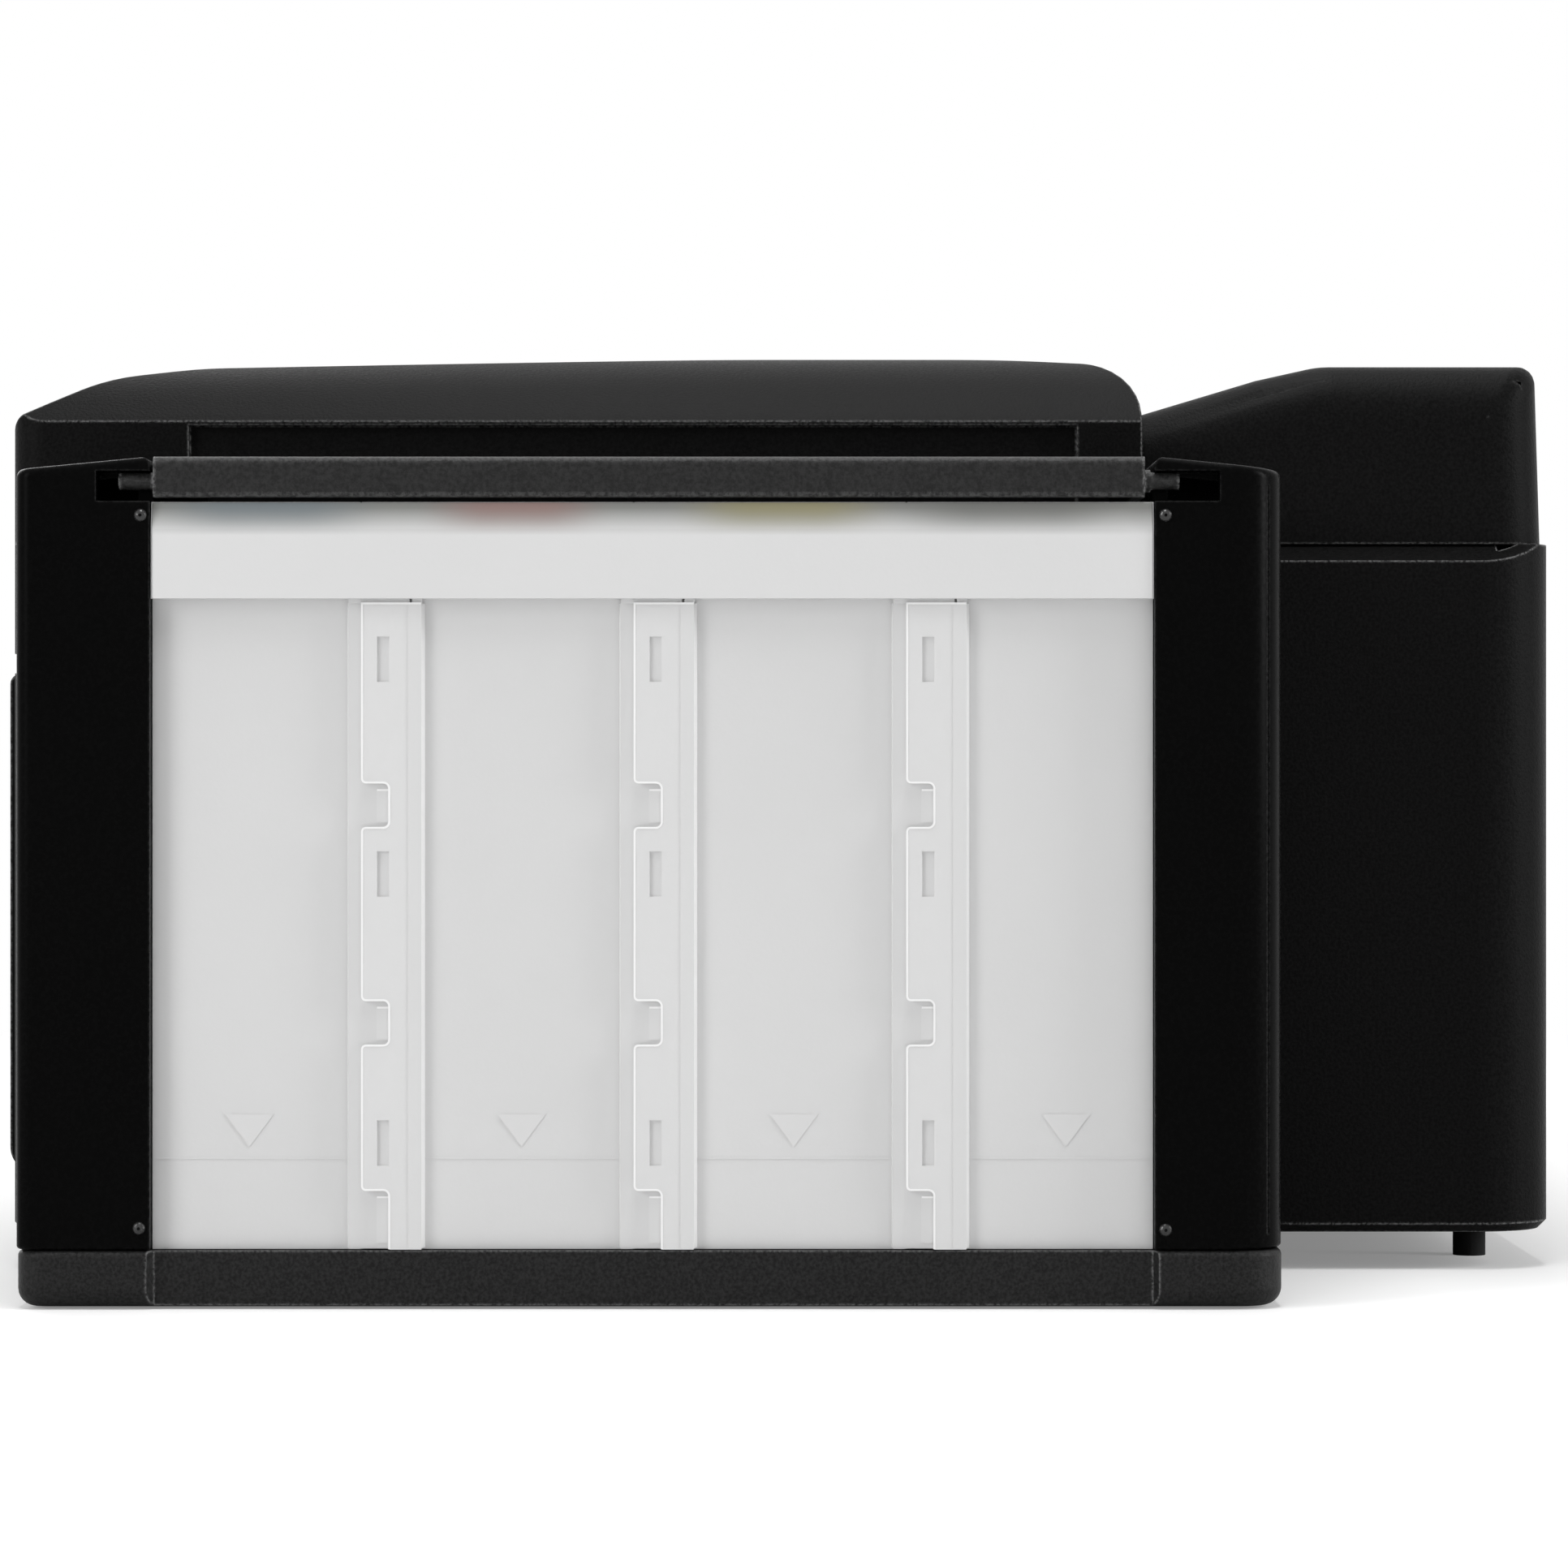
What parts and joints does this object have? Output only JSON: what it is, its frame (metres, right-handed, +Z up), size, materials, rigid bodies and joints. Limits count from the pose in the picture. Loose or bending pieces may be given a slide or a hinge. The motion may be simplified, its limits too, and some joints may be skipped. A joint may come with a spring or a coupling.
{
  "type": "inkjet photo printer",
  "caption": "Compact black inkjet photo printer with a hinged top cover, folding paper support and output tray, and a hooked-on side unit of refillable ink tanks.",
  "frame": {"origin": "middle of the footprint, on the surface the feet stand on", "axes": "+X to the printer's right with the tank unit, -Y the front with the output tray, +Z up"},
  "size_m": [0.472, 0.222, 0.1321],
  "materials": {
    "case_black": "satin grained",
    "cover_black": "satin grained",
    "casing_black": "semi gloss",
    "lid_grey": "coarse grain",
    "tank_white": "translucent satin",
    "cap_cyan": "satin",
    "cap_magenta": "satin",
    "cap_yellow": "satin",
    "cap_black": "satin",
    "button_grey": "satin",
    "lens": "clear",
    "steel": "brushed",
    "plated": "plated",
    "rubber_black": "matt",
    "rubber_grey": "matt",
    "gear_white": "satin",
    "inner_grey": "satin",
    "inner_black": "satin",
    "board_green": "satin",
    "felt": "felt",
    "hose_clear": "translucent"
  },
  "bodies": {
    "case": {"cap_station": "inner_grey", "carriage_motor": "steel", "case_screws": "steel", "chassis": "steel", "encoder_strip": "hose_clear", "feed_motor": "steel", "feeder_housing": "case_black", "guide_rod": "steel", "indicator_lenses": "lens", "ink_hose_loop": "hose_clear", "lower_case": "case_black", "main_board": "board_green", "paper_chute": "inner_grey", "platen": "inner_grey", "power_inlet": "inner_black", "power_supply": "plated", "roller_holders": "inner_grey", "rubber_feet": "rubber_black", "timing_belt": "rubber_black", "upper_case": "case_black", "waste_ink_pad": "felt"},
    "cover": {"top_cover": "cover_black", "ribbed_panel": "cover_black"},
    "support": {"paper_support": "case_black"},
    "support_slide": {"paper_support_extension": "inner_grey"},
    "tray": {"output_tray": "case_black"},
    "tray_slide": {"output_tray_extension": "inner_grey"},
    "guide": {"edge_guide": "inner_grey"},
    "hopper": {"hopper_plate": "inner_grey"},
    "pickup": {"pickup_roller": "rubber_grey"},
    "feed_train": {"feed_roller": "rubber_grey", "feed_gear": "gear_white"},
    "motor_pinion": {"feed_motor_pinion": "gear_white"},
    "idler": {"idler_gear": "gear_white"},
    "eject_train": {"eject_roller": "rubber_grey", "eject_gear": "gear_white"},
    "pinch": {"pinch_rollers": "rubber_grey"},
    "stars": {"star_wheels": "gear_white"},
    "carriage": {"carriage": "inner_black", "print_head": "inner_black"},
    "drive_pulley": {"motor_pulley": "gear_white"},
    "free_pulley": {"idler_pulley": "gear_white"},
    "power_button": {"button_power": "button_grey"},
    "paper_button": {"button_paper": "button_grey"},
    "ink_button": {"button_ink": "button_grey"},
    "tank_unit": {"tank_base": "casing_black", "tank_back_plate": "casing_black", "tank_front_casing": "casing_black", "tank_rear_casing": "casing_black", "tank_hoses": "hose_clear", "ink_tank_1": "tank_white", "ink_tank_2": "tank_white", "ink_tank_3": "tank_white", "ink_tank_4": "tank_white"},
    "lid": {"tank_lid": "lid_grey"},
    "lock": {"transport_lock": "casing_black"},
    "cap_1": {"tank_cap_1": "cap_cyan"},
    "cap_2": {"tank_cap_2": "cap_magenta"},
    "cap_3": {"tank_cap_3": "cap_yellow"},
    "cap_4": {"tank_cap_4": "cap_black"}
  },
  "joints": [
    {"name": "cover_hinge", "type": "hinge", "parent": "case", "child": "cover", "pos_m": [0, 0.041, 0.1205], "axis": [-1, 0, 0], "range_deg": [0, 75]},
    {"name": "support_hinge", "type": "hinge", "parent": "case", "child": "support", "pos_m": [0, 0.1045, 0.126], "axis": [-1, 0, 0], "range_deg": [0, 105]},
    {"name": "support_extend", "type": "slide", "parent": "support", "child": "support_slide", "axis": [0, -1, 0], "range_m": [0, 0.03]},
    {"name": "tray_hinge", "type": "hinge", "parent": "case", "child": "tray", "pos_m": [0, -0.107, 0.018], "axis": [1, 0, 0], "range_deg": [0, 90]},
    {"name": "tray_extend", "type": "slide", "parent": "tray", "child": "tray_slide", "axis": [0, 0, 1], "range_m": [0, 0.03]},
    {"name": "edge_guide_slide", "type": "slide", "parent": "case", "child": "guide", "axis": [-1, 0, 0], "range_m": [0, 0.115]},
    {"name": "hopper_hinge", "type": "hinge", "parent": "case", "child": "hopper", "pos_m": [0, 0.094, 0.112], "axis": [-1, 0, 0], "range_deg": [0, 4]},
    {"name": "pickup_spin", "type": "hinge", "parent": "case", "child": "pickup", "pos_m": [0, 0.04911, 0.07178], "axis": [1, 0, 0], "continuous": true},
    {"name": "feed_spin", "type": "hinge", "parent": "case", "child": "feed_train", "pos_m": [0, 0.014, 0.0322], "axis": [1, 0, 0], "continuous": true},
    {"name": "motor_pinion_spin", "type": "hinge", "parent": "case", "child": "motor_pinion", "pos_m": [0, 0.04, 0.03678], "axis": [1, 0, 0], "continuous": true},
    {"name": "idler_spin", "type": "hinge", "parent": "case", "child": "idler", "pos_m": [0, -0.01494, 0.04151], "axis": [1, 0, 0], "continuous": true},
    {"name": "eject_spin", "type": "hinge", "parent": "case", "child": "eject_train", "pos_m": [0, -0.04, 0.0332], "axis": [1, 0, 0], "continuous": true},
    {"name": "pinch_spin", "type": "hinge", "parent": "case", "child": "pinch", "pos_m": [0, 0.014, 0.0428], "axis": [1, 0, 0], "continuous": true},
    {"name": "star_spin", "type": "hinge", "parent": "case", "child": "stars", "pos_m": [0, -0.04, 0.0438], "axis": [1, 0, 0], "continuous": true},
    {"name": "carriage_travel", "type": "slide", "parent": "case", "child": "carriage", "axis": [-1, 0, 0], "range_m": [0, 0.3], "deforming": ["ink_hose_loop"]},
    {"name": "motor_pulley_spin", "type": "hinge", "parent": "case", "child": "drive_pulley", "pos_m": [0.15, 0.019, 0.08], "axis": [0, 1, 0], "range_deg": [0, 3450]},
    {"name": "idler_pulley_spin", "type": "hinge", "parent": "case", "child": "free_pulley", "pos_m": [-0.205, 0.019, 0.08], "axis": [0, 1, 0], "range_deg": [0, 3450]},
    {"name": "power_button_press", "type": "slide", "parent": "case", "child": "power_button", "axis": [0, 0, -1], "range_m": [0, 0.0008], "stiffness_N_per_m": 300},
    {"name": "paper_button_press", "type": "slide", "parent": "case", "child": "paper_button", "axis": [0, 0, -1], "range_m": [0, 0.0008], "stiffness_N_per_m": 300},
    {"name": "ink_button_press", "type": "slide", "parent": "case", "child": "ink_button", "axis": [0, 0, -1], "range_m": [0, 0.0008], "stiffness_N_per_m": 300},
    {"name": "tank_unit_lift", "type": "slide", "parent": "case", "child": "tank_unit", "axis": [0, 0, 1], "range_m": [0, 0.01]},
    {"name": "tank_lid_hinge", "type": "hinge", "parent": "tank_unit", "child": "lid", "pos_m": [0.2334, 0, 0.1096], "axis": [0, 1, 0], "range_deg": [0, 100]},
    {"name": "cap_1_pull", "type": "slide", "parent": "tank_unit", "child": "cap_1", "axis": [0, 0, 1], "range_m": [0, 0.006]},
    {"name": "cap_2_pull", "type": "slide", "parent": "tank_unit", "child": "cap_2", "axis": [0, 0, 1], "range_m": [0, 0.006]},
    {"name": "cap_3_pull", "type": "slide", "parent": "tank_unit", "child": "cap_3", "axis": [0, 0, 1], "range_m": [0, 0.006]},
    {"name": "cap_4_pull", "type": "slide", "parent": "tank_unit", "child": "cap_4", "axis": [0, 0, 1], "range_m": [0, 0.006]},
    {"name": "transport_lock_turn", "type": "hinge", "parent": "tank_unit", "child": "lock", "pos_m": [0.206, -0.095, 0.04], "axis": [0, 1, 0], "range_deg": [0, 90]}
  ],
  "couplings": [
    {"joint": "support_extend", "follows": "support_hinge", "m_per_rad": 0.016354},
    {"joint": "tray_extend", "follows": "tray_hinge", "m_per_rad": 0.019079},
    {"joint": "motor_pinion_spin", "follows": "feed_spin", "ratio": -3.7143},
    {"joint": "idler_spin", "follows": "feed_spin", "ratio": -2.1667},
    {"joint": "eject_spin", "follows": "feed_spin", "ratio": 1.2381},
    {"joint": "pinch_spin", "follows": "feed_spin", "ratio": -1.5},
    {"joint": "star_spin", "follows": "feed_spin", "ratio": -1.2381},
    {"joint": "motor_pulley_spin", "follows": "carriage_travel", "rad_per_m": 200},
    {"joint": "idler_pulley_spin", "follows": "carriage_travel", "rad_per_m": 200}
  ]
}
